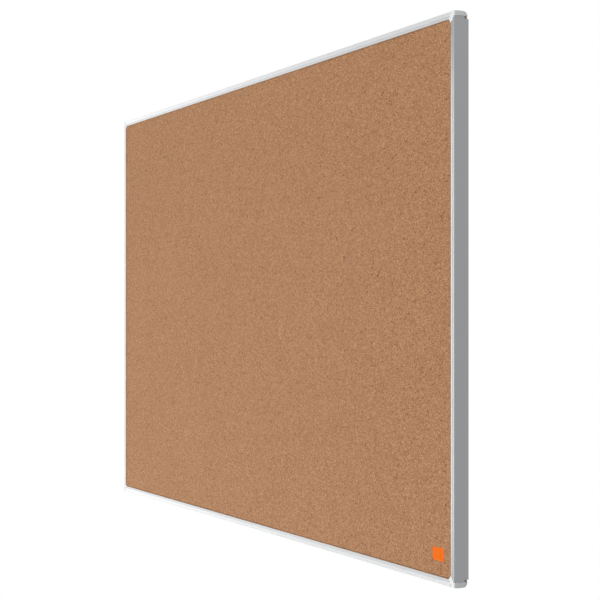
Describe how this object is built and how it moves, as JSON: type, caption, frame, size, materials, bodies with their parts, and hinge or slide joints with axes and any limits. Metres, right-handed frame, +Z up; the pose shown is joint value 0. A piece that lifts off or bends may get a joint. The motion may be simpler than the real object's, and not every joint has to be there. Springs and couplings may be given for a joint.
{
  "type": "cork bulletin board",
  "caption": "Wide wall-hung cork pin board in a slim aluminium frame with plastic corner caps, on concealed interlocking clips.",
  "frame": {"origin": "on the wall plane, at the centre of the wall screw pattern, behind the middle of the board", "axes": "+X along the board's width, to the right as seen by a reader; +Y out of the back into the wall, so the cork faces -Y; +Z up"},
  "size_m": [1.2214, 0.0208, 0.6914],
  "materials": {
    "rail_aluminium": "satin",
    "cap_plastic": "satin",
    "key_steel": "satin",
    "fibreboard": "matte",
    "cork": "matte",
    "backing": "matte",
    "label": "satin",
    "screw_steel": "polished",
    "clip_steel": "satin",
    "felt": "matte"
  },
  "bodies": {
    "wall_clips": {"wall_clip_upper_left": "clip_steel", "wall_clip_upper_right": "clip_steel", "wall_clip_lower_left": "clip_steel", "wall_clip_lower_right": "clip_steel"},
    "board": {"rail_top": "rail_aluminium", "rail_bottom": "rail_aluminium", "rail_left": "rail_aluminium", "rail_right": "rail_aluminium", "corner_cap_upper_left": "cap_plastic", "corner_cap_upper_right": "cap_plastic", "corner_cap_lower_left": "cap_plastic", "corner_cap_lower_right": "cap_plastic", "corner_key_upper_left": "key_steel", "corner_key_upper_right": "key_steel", "corner_key_lower_left": "key_steel", "corner_key_lower_right": "key_steel", "corner_block_upper_left": "fibreboard", "corner_block_upper_right": "fibreboard", "corner_block_lower_left": "fibreboard", "corner_block_lower_right": "fibreboard", "cork_sheet": "cork", "core_board": "fibreboard", "backing_sheet": "backing", "corner_label": "label", "corner_key_screws": "screw_steel", "board_clip_screws": "screw_steel", "board_clip_upper_left": "clip_steel", "board_clip_upper_right": "clip_steel", "board_clip_lower_left": "clip_steel", "board_clip_lower_right": "clip_steel", "bumper_pads": "felt"}
  },
  "joints": [
    {"name": "lift_off", "type": "slide", "parent": "wall_clips", "child": "board", "axis": [0, 0, 1], "range_m": [0, 0.012]}
  ]
}
